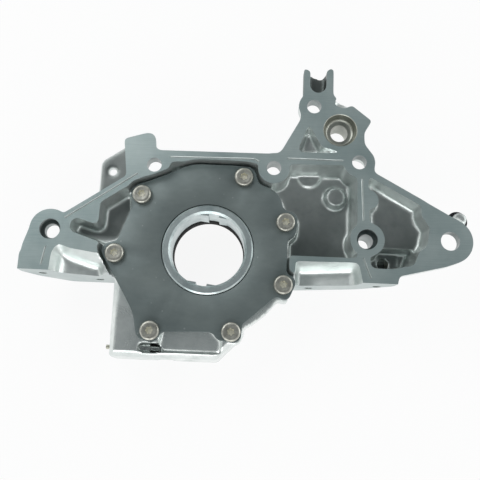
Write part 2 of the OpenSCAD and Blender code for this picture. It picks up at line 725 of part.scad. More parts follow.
// Round tube along a coil whose axis is X
module tube(path, r, sides) {
    n = len(path);
    rings = [for (i = [0:n - 1])
        let (d = unit(path[min(i + 1, n - 1)] - path[max(i - 1, 0)]), u = unit(cross(d, [1, 0, 0])), w = cross(d, u))
        [for (k = [0:sides - 1]) path[i] + r * (cos(360 * k / sides) * u + sin(360 * k / sides) * w)]];
    polyhedron(
        points = [for (q = rings) each q],
        faces = concat(
            [[for (k = [0:sides - 1]) k]],
            [for (i = [0:n - 2]) for (k = [0:sides - 1]) each [
                [i * sides + k, (i + 1) * sides + k, (i + 1) * sides + (k + 1) % sides],
                [i * sides + k, (i + 1) * sides + (k + 1) % sides, i * sides + (k + 1) % sides]]],
            [[for (k = [sides - 1:-1:0]) (n - 1) * sides + k]]));
}

module relief_retainer() {
    color("gray") {
        rod_x(retainer_x, retainer_x + retainer_t, plunger_r - 0.05, relief_y, relief_z);
        rod_x(relief_face_x - 2, retainer_x + eps, 1.3, relief_y, relief_z);
    }
}

// Spring ring in the groove outside the retainer
module relief_snap_ring() {
    color("dimgray") difference() {
        rod_x(ring_x, ring_x + snap_ring_t - 0.05, relief_d / 2 + 0.6, relief_y, relief_z);
        rod_x(ring_x - 1, ring_x + 2, relief_d / 2 - 1.4, relief_y, relief_z);
        translate([ring_x - 1, relief_y - 1.6, relief_z - 8]) cube([4, 3.2, 8]);
    }
}

// Cup plug in the outer end of the outlet gallery
module gallery_plug() {
    color("silver") difference() {
        rod_x(gallery_end_x - 5.5, gallery_end_x - 0.5, gallery_r, gallery_y, gallery_z);
        rod_x(gallery_end_x - 4, gallery_end_x + 1, gallery_r - 1.2, gallery_y, gallery_z);
    }
}

// Cup plug in the drilled passage to the relief valve
module passage_plug() {
    color("silver") difference() {
        rod_y(-65.6, -61.8, pilot_r, passage_x, relief_z - 4);
        rod_y(-67, -63, pilot_r - 0.9, passage_x, relief_z - 4);
    }
}

// Blackened plug screwed into the boss at the arm
module arm_plug() {
    z = -flange_t - 2;
    color("darkslategray") translate([arm_boss_xy[0], arm_boss_xy[1], 0]) {
        translate([0, 0, z - 6]) cylinder(r1 = 5.6, r2 = 6.4, h = 1);
        translate([0, 0, z - 5]) cylinder(r = 6.4, h = 5);
        translate([0, 0, z - eps]) cylinder(r = 2.95, h = 5.5);
    }
}

pump_body();
cover_plate();
cover_screw(0);  // cover_screw_1
cover_screw(1);  // cover_screw_2
cover_screw(2);  // cover_screw_3
cover_screw(3);  // cover_screw_4
cover_screw(4);  // cover_screw_5
cover_screw(5);  // cover_screw_6
cover_screw(6);  // cover_screw_7
inner_rotor();
outer_rotor();
seal_case();
seal_lip();
garter_spring();
relief_plunger();
relief_spring();
relief_retainer();
relief_snap_ring();
gallery_plug();
passage_plug();
arm_plug();
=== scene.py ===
import logging
import math
from dataclasses import dataclass, field
from enum import Enum, IntEnum
from typing import Any, Iterable, Sequence

import bmesh
import bpy
import numpy as np
from mathutils import Matrix, Vector


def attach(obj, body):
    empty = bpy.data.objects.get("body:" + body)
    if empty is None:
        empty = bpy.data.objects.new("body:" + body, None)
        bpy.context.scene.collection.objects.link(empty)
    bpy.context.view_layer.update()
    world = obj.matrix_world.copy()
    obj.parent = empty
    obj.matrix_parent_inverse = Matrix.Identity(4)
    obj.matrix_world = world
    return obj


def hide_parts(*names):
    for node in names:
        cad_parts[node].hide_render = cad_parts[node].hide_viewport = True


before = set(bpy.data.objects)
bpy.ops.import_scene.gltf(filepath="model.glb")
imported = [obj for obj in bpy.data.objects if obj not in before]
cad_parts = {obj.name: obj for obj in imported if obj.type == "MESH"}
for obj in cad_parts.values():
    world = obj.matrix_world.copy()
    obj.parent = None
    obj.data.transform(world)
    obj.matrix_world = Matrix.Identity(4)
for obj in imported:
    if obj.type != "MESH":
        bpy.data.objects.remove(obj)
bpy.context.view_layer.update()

LOG = logging.getLogger("oil_pump")
MM = 0.001
Point = tuple[float, float]
Place = tuple[float, float, float]
Colour = tuple[float, float, float]

# Levels and places that the CAD model sets, in millimetres
COVER_TOP = -6.0
SEAT = -10.0
SUMP_Y = -17.5
FRONT = -42.0
SUMP_ENDS: Point = (-57.5, 49.5)

# Reach of the cutting tools, clear of the casting on every side
CLEAR_LOW: Place = (-140.0, -90.0, -60.0)
CLEAR_HIGH: Place = (190.0, 150.0, 10.0)
THROUGH = CLEAR_HIGH[2] - CLEAR_LOW[2]

# Bolt holes of the flange: centre, radius and the level that the plug in each reaches down to
FLANGE_HOLES: dict[str, tuple[Point, float, float]] = {
    "tab": ((-35.0, 50.5), 4.5, -9.0),
    "top": ((38.5, 51.5), 4.5, -12.0),
    "stem": ((62.5, 93.0), 4.5, -9.0),
    "upper": ((91.0, 57.5), 4.5, -8.0),
    "left": ((-95.0, 7.5), 4.5, -11.0),
    "column": ((96.0, 9.0), 4.5, -24.0),
    "arm": ((146.0, 10.0), 5.75, -7.0),
}
DOWEL_BORES: tuple[Point, ...] = ((-95.0, 7.5), (96.0, 9.0))
BOWL_AT: Point = (79.0, 78.0)
ARM_BOSS: Point = (153.0, 24.5)
LUG_HOLE: Point = (-64.0, 51.5)
RING_ROTOR_AT: Point = (-2.2936, -1.606)
SCREWS: tuple[Point, ...] = (
    (-42.0, 32.6), (20.3, 46.3), (46.9, 18.6), (46.4, -20.0), (16.3, -49.4), (-31.7, -50.5), (-56.0, -4.8))

# Tapped holes of the sump flange: place along X and depth below the mating face
SUMP_TAPS: tuple[Point, ...] = ((-100.0, -13.0), (-68.0, -30.0), (64.0, -30.0), (104.0, -13.0))

# Lines of the sealant grooves on the mating face
SEALANT_GROOVES: tuple[tuple[Point, ...], ...] = (
    ((-98.2, -14.6), (-96.4, -3.2)),
    ((-86.7, 14.6), (-44.6, 44.6)),
    ((-25.5, 55.9), (26.2, 56.8), (29.2, 55.2)),
    ((46.6, 58.0), (81.0, 58.0)),
    ((92.6, 47.0), (93.6, 20.6)),
    ((93.6, -2.4), (98.2, -14.8)),
)


def linear(red: int, green: int, blue: int) -> Colour:
    """Screen colour as a linear one.

    Args:
        red: Red, 0 to 255.
        green: Green, 0 to 255.
        blue: Blue, 0 to 255.

    Returns:
        The linear colour.
    """
    def one(value: int) -> float:
        """One channel made linear."""
        share = value / 255
        return share / 12.92 if share <= 0.04045 else ((share + 0.055) / 1.055) ** 2.4

    return one(red), one(green), one(blue)


class Wire:
    """A number socket of a node tree that arithmetic works on."""

    def __init__(self, graph: "Graph", socket: Any) -> None:
        """Wraps a socket or a number.

        Args:
            graph: The tree it belongs to.
            socket: Output socket or plain number.
        """
        self.graph = graph
        self.socket = socket

    def _math(self, operation: str, *others: Any) -> "Wire":
        """One Math node on this value and others.

        Args:
            operation: The node's operation.
            *others: Its further values.

        Returns:
            The result.
        """
        node = self.graph.node("ShaderNodeMath", {"operation": operation},
                               {i: v for i, v in enumerate((self, *others))})
        return Wire(self.graph, node.outputs[0])

    def __add__(self, other: Any) -> "Wire":
        """Sum."""
        return self._math("ADD", other)

    def __radd__(self, other: Any) -> "Wire":
        """Sum with a number on the left."""
        return self._math("ADD", other)

    def __sub__(self, other: Any) -> "Wire":
        """Difference."""
        return self._math("SUBTRACT", other)

    def __rsub__(self, other: Any) -> "Wire":
        """Difference from a number."""
        return Wire(self.graph, other)._math("SUBTRACT", self)

    def __mul__(self, other: Any) -> "Wire":
        """Product."""
        return self._math("MULTIPLY", other)

    def __rmul__(self, other: Any) -> "Wire":
        """Product with a number on the left."""
        return self._math("MULTIPLY", other)

    def __truediv__(self, other: Any) -> "Wire":
        """Quotient."""
        return self._math("DIVIDE", other)

    def __pow__(self, other: Any) -> "Wire":
        """Power."""
        return self._math("POWER", other)

    def clamp(self, low: float = 0.0, high: float = 1.0) -> "Wire":
        """Value kept between two numbers."""
        return self._math("MAXIMUM", low)._math("MINIMUM", high)

    def step(self, low: float, high: float) -> "Wire":
        """Ramp from 0 at low to 1 at high.

        Args:
            low: Value where the ramp starts.
            high: Value where it ends.

        Returns:
            The ramp, kept between 0 and 1.
        """
        return ((self - low) / (high - low)).clamp()

    def between(self, low_mm: float, high_mm: float) -> "Wire":
        """Ramp of a length between two others in millimetres."""
        return self.step(low_mm * MM, high_mm * MM)

    def sine(self) -> "Wire":
        """Sine of the value in radians."""
        return self._math("SINE")


class Graph:
    """A node tree, for shaders and for geometry."""

    def __init__(self, tree: bpy.types.NodeTree) -> None:
        """Starts on a tree.

        Args:
            tree: The tree that nodes are added to.
        """
        self.tree = tree

    def node(self, kind: str, settings: dict[str, Any] | None = None,
             inputs: dict[Any, Any] | None = None) -> bpy.types.Node:
        """Adds one node.

        Args:
            kind: The node's type.
            settings: Its own settings, set before its sockets; "stops" fills a ramp.
            inputs: Values or links of its sockets, by name or number.

        Returns:
            The node.
        """
        made = self.tree.nodes.new(kind)
        for name, value in (settings or {}).items():
            if name == "stops":
                self._stops(made.color_ramp, value)
            else:
                setattr(made, name, value)
        for name, value in (inputs or {}).items():
            self._feed(made.inputs[name], value)
        return made

    def _feed(self, socket: bpy.types.NodeSocket, value: Any) -> None:
        """Sets or links one socket.

        Args:
            socket: The input socket.
            value: A wire, a socket, a colour or a plain value.
        """
        if isinstance(value, Wire):
            value = value.socket
        if isinstance(value, bpy.types.NodeSocket):
            self.tree.links.new(value, socket)
        elif isinstance(value, (tuple, list)) and socket.type == "RGBA" and len(value) == 3:
            socket.default_value = (*value, 1.0)
        else:
            socket.default_value = value

    @staticmethod
    def _stops(ramp: bpy.types.ColorRamp, stops: Sequence[tuple[float, Colour]]) -> None:
        """Fills a colour ramp.

        Args:
            ramp: The ramp.
            stops: Positions and colours.
        """
        while len(ramp.elements) < len(stops):
            ramp.elements.new(0.5)
        for element, (position, colour) in zip(ramp.elements, stops):
            element.position = position
            element.color = (*colour, 1.0)


class Pattern(Graph):
    """Shader tree of one finish, with the patterns that finishes share."""

    def __init__(self, name: str) -> None:
        """Makes an empty material.

        Args:
            name: The material's name.
        """
        self.material = bpy.data.materials.new(name)
        self.material.use_nodes = True
        super().__init__(self.material.node_tree)
        self.tree.nodes.clear()
        coordinates = self.node("ShaderNodeTexCoord")
        self.place = coordinates.outputs["Object"]
        self.normal = coordinates.outputs["Normal"]

    def scaled(self, x: float, y: float, z: float, turn: float = 0.0) -> bpy.types.NodeSocket:
        """Object place stretched on each axis.

        Args:
            x: Scale along X.
            y: Scale along Y.
            z: Scale along Z.
            turn: Turn about Z, in degrees.

        Returns:
            The stretched place.
        """
        node = self.node("ShaderNodeMapping", {}, {"Vector": self.place})
        node.inputs["Scale"].default_value = (x, y, z)
        node.inputs["Rotation"].default_value = (0.0, 0.0, math.radians(turn))
        return node.outputs["Vector"]

    def noise(self, scale: float, detail: float = 3.0, rough: float = 0.55,
              place: bpy.types.NodeSocket | None = None) -> Wire:
        """Cloudy noise.

        Args:
            scale: Cells to a metre.
            detail: Octaves.
            rough: Share of each finer octave.
            place: Where it is read; the object's own place if left out.

        Returns:
            The noise, about 0 to 1.
        """
        node = self.node("ShaderNodeTexNoise", {"noise_dimensions": "3D"}, {
            "Vector": place or self.place, "Scale": scale, "Detail": detail, "Roughness": rough})
        return Wire(self, node.outputs["Fac"])

    def cells(self, scale: float) -> Wire:
        """Distance to points that are scattered, scale of them to a metre."""
        node = self.node("ShaderNodeTexVoronoi", {}, {"Vector": self.place, "Scale": scale})
        return Wire(self, node.outputs["Distance"])

    def axis(self, name: str, place: bpy.types.NodeSocket | None = None) -> Wire:
        """One coordinate of a place."""
        node = self.node("ShaderNodeSeparateXYZ", {}, {0: place or self.place})
        return Wire(self, node.outputs[name])

    def radius(self, x: float, y: float) -> Wire:
        """Distance from an upright axis.

        Args:
            x: The axis's X, in metres.
            y: Its Y, in metres.

        Returns:
            The distance in metres.
        """
        dx, dy = self.axis("X") - x, self.axis("Y") - y
        return (dx * dx + dy * dy) ** 0.5

    def blend(self, share: Wire | float, first: Any, second: Any) -> bpy.types.NodeSocket:
        """Mix of two colours.

        Args:
            share: 0 gives the first, 1 the second.
            first: Colour or colour socket.
            second: Colour or colour socket.

        Returns:
            The mixed colour.
        """
        node = self.node("ShaderNodeMix", {"data_type": "RGBA"}, {0: share, 6: first, 7: second})
        return node.outputs[2]

    def bump(self, height: Wire, strength: float, depth_mm: float,
             below: bpy.types.NodeSocket | None = None) -> bpy.types.NodeSocket:
        """Normal of a height pattern.

        Args:
            height: Height, about 0 to 1.
            strength: Share of the effect.
            depth_mm: Height's size in millimetres.
            below: Normal of a coarser bump under it.

        Returns:
            The normal.
        """
        inputs: dict[str, Any] = {"Height": height, "Strength": strength, "Distance": depth_mm * MM}
        if below is not None:
            inputs["Normal"] = below
        return self.node("ShaderNodeBump", {}, inputs).outputs["Normal"]

    def surface(self, **inputs: Any) -> bpy.types.Material:
        """Ends the tree in a Principled shader.

        Args:
            **inputs: Socket names with underscores for spaces, and their values.

        Returns:
            The material.
        """
        named = {name.replace("_", " "): value for name, value in inputs.items()}
        shader = self.node("ShaderNodeBsdfPrincipled", {}, named)
        self.node("ShaderNodeOutputMaterial", {}, {"Surface": shader.outputs[0]})
        return self.material


class Finish:
    """Base of the finishes; each makes its material once."""

    _made: dict[Any, bpy.types.Material] = {}

    def material(self) -> bpy.types.Material:
        """The finish's material, made on first use."""
        if self not in Finish._made:
            Finish._made[self] = self.paint()
        return Finish._made[self]

    def paint(self) -> bpy.types.Material:
        """Builds the material."""
        raise NotImplementedError


@dataclass(frozen=True)
class CastSkin(Finish):
    """Die-cast aluminium as it leaves the mould: soft sheen, fine grain, painted shade on the pockets'
    floors, in the top stem's channel and at the arm boss.
    """

    light: Colour = linear(236, 241, 239)
    dark: Colour = linear(166, 178, 177)
    stained: Colour = linear(120, 131, 130)
    # Painted shade: colour of the shade painted on the pockets' floors and in the stem's channel
    painted_shade: Colour = linear(62, 70, 69)
    # Painted shade: near-black shade painted into the skin at the arm boss
    black: Colour = linear(40, 44, 46)
    grain_mm: float = 0.5
    rough: float = 0.22

    def paint(self) -> bpy.types.Material:
        """Builds the material.

        Returns:
            The material.
        """
        p = Pattern("cast_skin")
        down = p.axis("Z") * -1
        depth = down.between(1.5, 5.0)
        cloud = p.noise(30, 3.0, 0.55)
        fine = p.noise(1 / (self.grain_mm * MM), 3.0, 0.6)
        sand = p.noise(260, 4.0, 0.65)
        stain = p.noise(85, 3.0, 0.6).step(0.52, 0.75) * 0.22
        block = (p.axis("Y") * -1).between(30.0, 45.0)
        # Painted shade: the pockets' floors and the top stem's channel
        shade = self.floor_painted_shade(p, depth, cloud) + self.stem_shade(p, down)
        # Painted shade: the skin at the arm boss, below the mating face, painted near black
        boss_shade = (p.radius(*(v * MM for v in ARM_BOSS)) * -1).between(-6.2, -5.6) * depth * 0.95
        share = (cloud.step(0.3, 0.72) * 0.3 + sand.step(0.35, 0.7) * 0.14 + (1 - block) * 0.12).clamp()
        base = p.blend(share, self.light, self.dark)
        base = p.blend(stain, base, self.stained)
        # Painted shade blended in: the pockets' floors and the stem's channel, then the arm boss
        base = p.blend(shade.clamp(0.0, 0.92), base, self.painted_shade)
        base = p.blend(boss_shade, base, self.black)
        coarse = p.bump(p.noise(120, 2.0, 0.5), 0.25, 0.4)
        rough = self.rough + fine * 0.1 + cloud * 0.08 - block * 0.06 + shade * 0.15
        return p.surface(Base_Color=base, Metallic=0.86, Roughness=rough.clamp(0.1, 0.8),
                         Normal=p.bump(fine, 0.35, 0.08, coarse))

    @staticmethod
    def floor_painted_shade(p: Pattern, depth: Wire, cloud: Wire) -> Wire:
        """Painted shade on flat floors, heavier low in the pockets on the right and all over those on the
        left.

        Args:
            p: The finish's tree.
            depth: 1 where the skin lies below the mating face.
            cloud: Noise that breaks the painted shade up.

        Returns:
            The share of painted shade.
        """
        x, y = p.axis("X"), p.axis("Y")
        right, far = x.between(0.0, 20.0), x.between(95.0, 99.0)
        above_sump = (y - 6 * MM + right * (8 * MM) + far * (14 * MM)).between(-2.0, 2.0)
        floor = p.axis("Z", p.normal).step(0.72, 0.97) * depth * above_sump
        low = (50 * MM - y).between(0.0, 50.0) * 0.5 + 0.3
        return floor * (right * low + (1 - right) * 0.72 + cloud.step(0.3, 0.7) * 0.12)

    @staticmethod
    def stem_shade(p: Pattern, down: Wire) -> Wire:
        """Painted shade in the channel of the top stem.

        Args:
            p: The finish's tree.
            down: Depth below the mating face, in metres.

        Returns:
            The share of painted shade.
        """
        return p.axis("Y").between(100.8, 102.0) * down.between(0.2, 0.5) * 0.95


@dataclass(frozen=True)
class MilledFace(Finish):
    """Face-milled aluminium: blue-grey, with fine cutter lines and handling marks."""

    name: str = "milled_face"
    light: Colour = linear(186, 199, 198)
    dark: Colour = linear(140, 158, 159)
    turn: float = 22.0
    rough: float = 0.33

    def paint(self) -> bpy.types.Material:
        """Builds the material.

        Returns:
            The material.
        """
        p = Pattern(self.name)
        lines = p.noise(1.0, 2.0, 0.5, p.scaled(55, 2600, 55, self.turn))
        cross = p.noise(1.0, 2.0, 0.5, p.scaled(1900, 60, 60, self.turn))
        cloud = p.noise(24, 4.0, 0.6)
        spots = p.noise(620, 2.0, 0.7).step(0.66, 0.78)
        share = (cloud.step(0.28, 0.75) * 0.8 + lines.step(0.3, 0.7) * 0.25 - 0.05).clamp()
        base = p.blend(share, self.light, self.dark)
        base = p.blend(spots * 0.35, base, linear(198, 208, 205))
        height = lines * 0.7 + cross * 0.3
        return p.surface(Base_Color=base, Metallic=0.85, Roughness=(self.rough + lines * 0.12),
                         Normal=p.bump(height, 0.25, 0.02))


@dataclass(frozen=True)
class BoredSteel(Finish):
    """Turned or bored metal, with rings round an axis."""

    name: str
    light: Colour
    dark: Colour
    at: Point = (0.0, 0.0)
    rough: float = 0.25
    pitch_mm: float = 0.35

    def paint(self) -> bpy.types.Material:
        """Builds the material.

        Returns:
            The material.
        """
        p = Pattern(self.name)
        r = p.radius(self.at[0] * MM, self.at[1] * MM)
        wave = (r * (2 * math.pi / (self.pitch_mm * MM)) + p.noise(60) * 8.0).sine() * 0.5 + 0.5
        down = (p.axis("Z") * (2 * math.pi / (self.pitch_mm * MM))).sine() * 0.5 + 0.5
        cloud = p.noise(70, 4.0, 0.6)
        base = p.blend(cloud.step(0.3, 0.7), self.light, self.dark)
        return p.surface(Base_Color=base, Metallic=0.95, Roughness=(self.rough + cloud * 0.12),
                         Normal=p.bump(wave * 0.6 + down * 0.4, 0.2, 0.01))


@dataclass(frozen=True)
class GroundPlate(Finish):
    """Ground steel plate: mid grey, satin, with faint arcs, smears and a few bright specks."""

    light: Colour = linear(134, 144, 143)
    dark: Colour = linear(98, 109, 110)

    def paint(self) -> bpy.types.Material:
        """Builds the material.

        Returns:
            The material.
        """
        p = Pattern("ground_plate")
        arcs = p.noise(1.0, 2.0, 0.5, p.scaled(70, 1700, 70, -18))
        smear = p.noise(1.0, 4.0, 0.62, p.scaled(26, 58, 26, 35))
        cloud = p.noise(55, 5.0, 0.65)
        specks = p.cells(150).step(0.05, 0.09)
        edge = p.radius(0, 0).step(0.044, 0.056)
        share = (smear.step(0.3, 0.7) * 0.55 + cloud.step(0.3, 0.7) * 0.25 + edge * 0.25).clamp()
        base = p.blend(share, self.light, self.dark)
        base = p.blend((1 - specks) * 0.4, base, linear(176, 182, 178))
        return p.surface(Base_Color=base, Metallic=0.8, Roughness=(0.37 + smear * 0.16 + arcs * 0.06),
                         Normal=p.bump(arcs, 0.18, 0.012))


@dataclass(frozen=True)
class PlatedScrew(Finish):
    """Zinc-nickel plated screw: warm grey; the recess has a brighter, yellowish painted highlight of its
    own.
    """

    outside: Colour = linear(200, 200, 191)
    worn: Colour = linear(150, 150, 142)

    def paint(self) -> bpy.types.Material:
        """Builds the material.

        Returns:
            The material.
        """
        p = Pattern("plated_screw")
        cloud = p.noise(420, 4.0, 0.6)
        grime = p.noise(240, 3.0, 0.6).step(0.5, 0.72)
        base = p.blend(cloud.step(0.3, 0.72), self.outside, self.worn)
        base = p.blend(grime * 0.5, base, linear(100, 99, 92))
        return p.surface(Base_Color=base, Metallic=0.9, Roughness=(0.28 + cloud * 0.18),
                         Normal=p.bump(cloud, 0.25, 0.05))


@dataclass(frozen=True)
class PlainMetal(Finish):
    """Small metal parts with a fine cloudy surface."""

    name: str
    light: Colour
    dark: Colour
    rough: float = 0.3
    metallic: float = 0.95
    scale: float = 300.0

    def paint(self) -> bpy.types.Material:
        """Builds the material.

        Returns:
            The material.
        """
        p = Pattern(self.name)
        cloud = p.noise(self.scale, 4.0, 0.6)
        base = p.blend(cloud.step(0.3, 0.7), self.light, self.dark)
        return p.surface(Base_Color=base, Metallic=self.metallic, Roughness=(self.rough + cloud * 0.15),
                         Normal=p.bump(cloud, 0.2, 0.03))


@dataclass(frozen=True)
class SealRubber(Finish):
    """Black nitrile rubber with a faint bloom."""

    def paint(self) -> bpy.types.Material:
        """Builds the material.

        Returns:
            The material.
        """
        p = Pattern("seal_rubber")
        bloom = p.noise(200, 3.0, 0.6)
        base = p.blend(bloom.step(0.4, 0.8) * 0.5, linear(18, 19, 19), linear(48, 50, 50))
        return p.surface(Base_Color=base, Roughness=(0.4 + bloom * 0.2), Normal=p.bump(bloom, 0.2, 0.04))


CAST = CastSkin()
MILLED = MilledFace()
# Painted light: the sump face is a lighter copy of the milled face, its cutter lines at another angle
SUMP_MILLED_LIT = MilledFace("sump_face_lit", linear(196, 206, 204), linear(158, 172, 172), 3.0, 0.3)
BORED = BoredSteel("bored_aluminium", linear(150, 158, 157), linear(92, 102, 102))
# Painted light: the turned bowl is a lighter, warmer copy of the bored aluminium
BOWL = BoredSteel("bowl_lit_aluminium", linear(188, 190, 180), linear(136, 140, 134), BOWL_AT, 0.3, 0.5)
PLATE = GroundPlate()
ROTOR = BoredSteel("sintered_rotor", linear(216, 226, 226), linear(158, 173, 175), (0.0, 0.0), 0.27, 0.4)
SCREW = PlatedScrew()
# Painted highlight: the screws' recesses are a near-white copy of their plating
RECESS_HIGHLIGHT = PlainMetal("screw_recess_highlight", linear(246, 245, 232), linear(206, 203, 186), 0.42, 1.0, 900.0)
RUBBER = SealRubber()
SEAL_STEEL = PlainMetal("seal_case_steel", linear(86, 96, 98), linear(58, 66, 68), 0.35)
HARD_STEEL = PlainMetal("hardened_steel", linear(196, 200, 198), linear(150, 156, 155), 0.16)
BRIGHT_PLUG = PlainMetal("bright_plug", linear(186, 186, 172), linear(140, 142, 132), 0.28)
BLACK_STEEL = PlainMetal("black_steel", linear(46, 49, 52), linear(26, 28, 30), 0.42, 0.6)
WIRE = PlainMetal("spring_wire", linear(168, 168, 160), linear(120, 122, 116), 0.25)


class Shape:
    """A mesh in the making, in millimetres, that booleans and masks work on."""

    def __init__(self, name: str) -> None:
        """Starts an empty shape.

        Args:
            name: Name of the mesh.
        """
        self.name = name
        self.bm = bmesh.new()

    def cylinder(self, at: Sequence[float], radius: float, length: float, axis: str = "Z",
                 sides: int = 96) -> "Shape":
        """Adds a cylinder.

        Args:
            at: Centre of its first end.
            radius: Its radius.
            length: Length along the axis.
            axis: "X", "Y" or "Z", towards its plus side.
            sides: Sides round.

        Returns:
            The shape itself.
        """
        turn = {"Z": Matrix.Identity(4), "X": Matrix.Rotation(math.pi / 2, 4, "Y"),
                "Y": Matrix.Rotation(-math.pi / 2, 4, "X")}[axis]
        place = Matrix.Translation(at) @ turn @ Matrix.Translation((0, 0, length / 2))
        bmesh.ops.create_cone(self.bm, cap_ends=True, segments=sides, radius1=radius, radius2=radius,
                              depth=length, matrix=place)
        return self

    def block(self, low: Sequence[float], high: Sequence[float]) -> "Shape":
        """Adds a box.

        Args:
            low: Its lowest corner.
            high: Its highest corner.

        Returns:
            The shape itself.
        """
        size = [b - a for a, b in zip(low, high)]
        centre = [(a + b) / 2 for a, b in zip(low, high)]
        place = Matrix.Translation(centre) @ Matrix.Diagonal((*size, 1.0))
        bmesh.ops.create_cube(self.bm, size=1.0, matrix=place)
        return self

    def lathe(self, profile: Sequence[Point], at: Point = (0.0, 0.0), sides: int = 96) -> "Shape":
        """Adds a solid of revolution.

        Args:
            profile: Closed outline as radius and height; points on the axis have radius 0.
            at: Place of the upright axis.
            sides: Sides round.

        Returns:
            The shape itself.
        """
        rings: list[list[bmesh.types.BMVert]] = []
        turn = [2 * math.pi * i / sides for i in range(sides)]
        for radius, height in profile:
            angles = turn if radius > 1e-6 else turn[:1]
            ring = [(at[0] + radius * math.cos(a), at[1] + radius * math.sin(a), height) for a in angles]
            rings.append([self.bm.verts.new(corner) for corner in ring])
        made: list[bmesh.types.BMFace] = []
        closed = all(len(r) > 1 for r in rings)
        pairs = list(zip(rings, rings[1:] + rings[:1])) if closed else list(zip(rings, rings[1:]))
        for lower, upper in pairs:
            if len(lower) == 1 and len(upper) == 1:
                continue
            for i in range(sides):
                j = (i + 1) % sides
                around = ((lower, i), (lower, j), (upper, j), (upper, i))
                corners = [ring[k % len(ring)] for ring, k in around]
                made.append(self.bm.faces.new(list(dict.fromkeys(corners))))
        bmesh.ops.recalc_face_normals(self.bm, faces=made)
        return self

    def prism(self, outline: Sequence[Point], low: float, high: float) -> "Shape":
        """Adds an upright prism.

        Args:
            outline: Points of its outline.
            low: Height of its foot.
            high: Height of its top.

        Returns:
            The shape itself.
        """
        base = [self.bm.verts.new((x, y, low)) for x, y in outline]
        face = self.bm.faces.new(base)
        made = bmesh.ops.extrude_face_region(self.bm, geom=[face])
        top = [v for v in made["geom"] if isinstance(v, bmesh.types.BMVert)]
        bmesh.ops.translate(self.bm, verts=top, vec=(0, 0, high - low))
        bmesh.ops.recalc_face_normals(self.bm, faces=self.bm.faces[:])
        return self

    def mesh(self) -> bpy.types.Mesh:
        """Ends the shape as a mesh.

        Returns:
            The mesh, still in millimetres.
        """
        made = bpy.data.meshes.new(self.name)
        self.bm.to_mesh(made)
        self.bm.free()
        return made

    def object(self) -> bpy.types.Object:
        """The shape as an object in the scene, still in millimetres."""
        made = bpy.data.objects.new(self.name, self.mesh())
        bpy.context.scene.collection.objects.link(made)
        return made


def copy_of(node: str) -> bpy.types.Object:
    """Merged copy of a CAD node, in millimetres.

    Args:
        node: The node's name.

    Returns:
        An object with one slot and no material.
    """
    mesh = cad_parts[node].data.copy()
    mesh.transform(Matrix.Scale(1 / MM, 4))
    bm = bmesh.new()
    bm.from_mesh(mesh)
    bmesh.ops.remove_doubles(bm, verts=bm.verts, dist=0.002)
    bm.to_mesh(mesh)
    bm.free()
    mesh.materials.clear()
    made = bpy.data.objects.new(node + "_copy", mesh)
    bpy.context.scene.collection.objects.link(made)
    return made


def modified(target: bpy.types.Object, kind: str, **settings: Any) -> bpy.types.Object:
    """Applies one modifier.

    Args:
        target: The object.
        kind: The modifier's type.
        **settings: Its settings.

    Returns:
        The same object with its new mesh.
    """
    modifier = target.modifiers.new(kind.lower(), kind)
    for name, value in settings.items():
        setattr(modifier, name, value)
    return baked(target)


def baked(target: bpy.types.Object) -> bpy.types.Object:
    """Replaces an object's mesh by its evaluated one and drops its modifiers.

    Args:
        target: The object.

    Returns:
        The same object.
    """
    graph = bpy.context.evaluated_depsgraph_get()
    graph.update()
    mesh = bpy.data.meshes.new_from_object(target.evaluated_get(graph), preserve_all_data_layers=True,
                                           depsgraph=graph)
    old = target.data
    target.modifiers.clear()
    target.data = mesh
    bpy.data.meshes.remove(old)
    return target


def cut(target: bpy.types.Object, tool: Shape) -> bpy.types.Object:
    """Cuts a shape out of an object.

    Args:
        target: The object, in millimetres.
        tool: The cutting shape.

    Returns:
        The object.
    """
    knife = tool.object()
    modified(target, "BOOLEAN", operation="DIFFERENCE", solver="MANIFOLD", object=knife)
    bpy.data.objects.remove(knife)
    return modified(target, "TRIANGULATE", ngon_method="BEAUTY")


def finished(target: bpy.types.Object, name: str, body: str, replaces: Iterable[str] = (),
             sharp: float = 32.0) -> bpy.types.Object:
    """Turns a millimetre object into a piece of the scene.

    Args:
        target: The object.
        name: The piece's name.
        body: CAD body it rides on.
        replaces: CAD nodes that it stands for.
        sharp: Angle above which an edge shades sharp, in degrees.

    Returns:
        The piece.
    """
    target.data.transform(Matrix.Scale(MM, 4))
    target.name = name
    target.data.name = name
    target.data.shade_smooth()
    target.data.set_sharp_from_angle(angle=math.radians(sharp))
    target.data.update()
    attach(target, body)
    if replaces:
        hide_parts(*replaces)
    LOG.info("%s: %d triangles", name, sum(len(f.vertices) - 2 for f in target.data.polygons))
    return target


def dress_node(node: str, *finishes: Finish) -> None:
    """Gives a CAD node its finish.

    Args:
        node: The node's name.
        *finishes: Finishes of its slots.
    """
    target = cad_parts[node]
    for index, slot in enumerate(target.material_slots):
        slot.material = finishes[min(index, len(finishes) - 1)].material()
    LOG.info("%s dressed as %s", node, finishes[0].material().name)


class Slot(IntEnum):
    """Material slots of the casting."""

    CAST = 0
    MILLED = 1
    SUMP = 2
    BORED = 3
    BOWL = 4


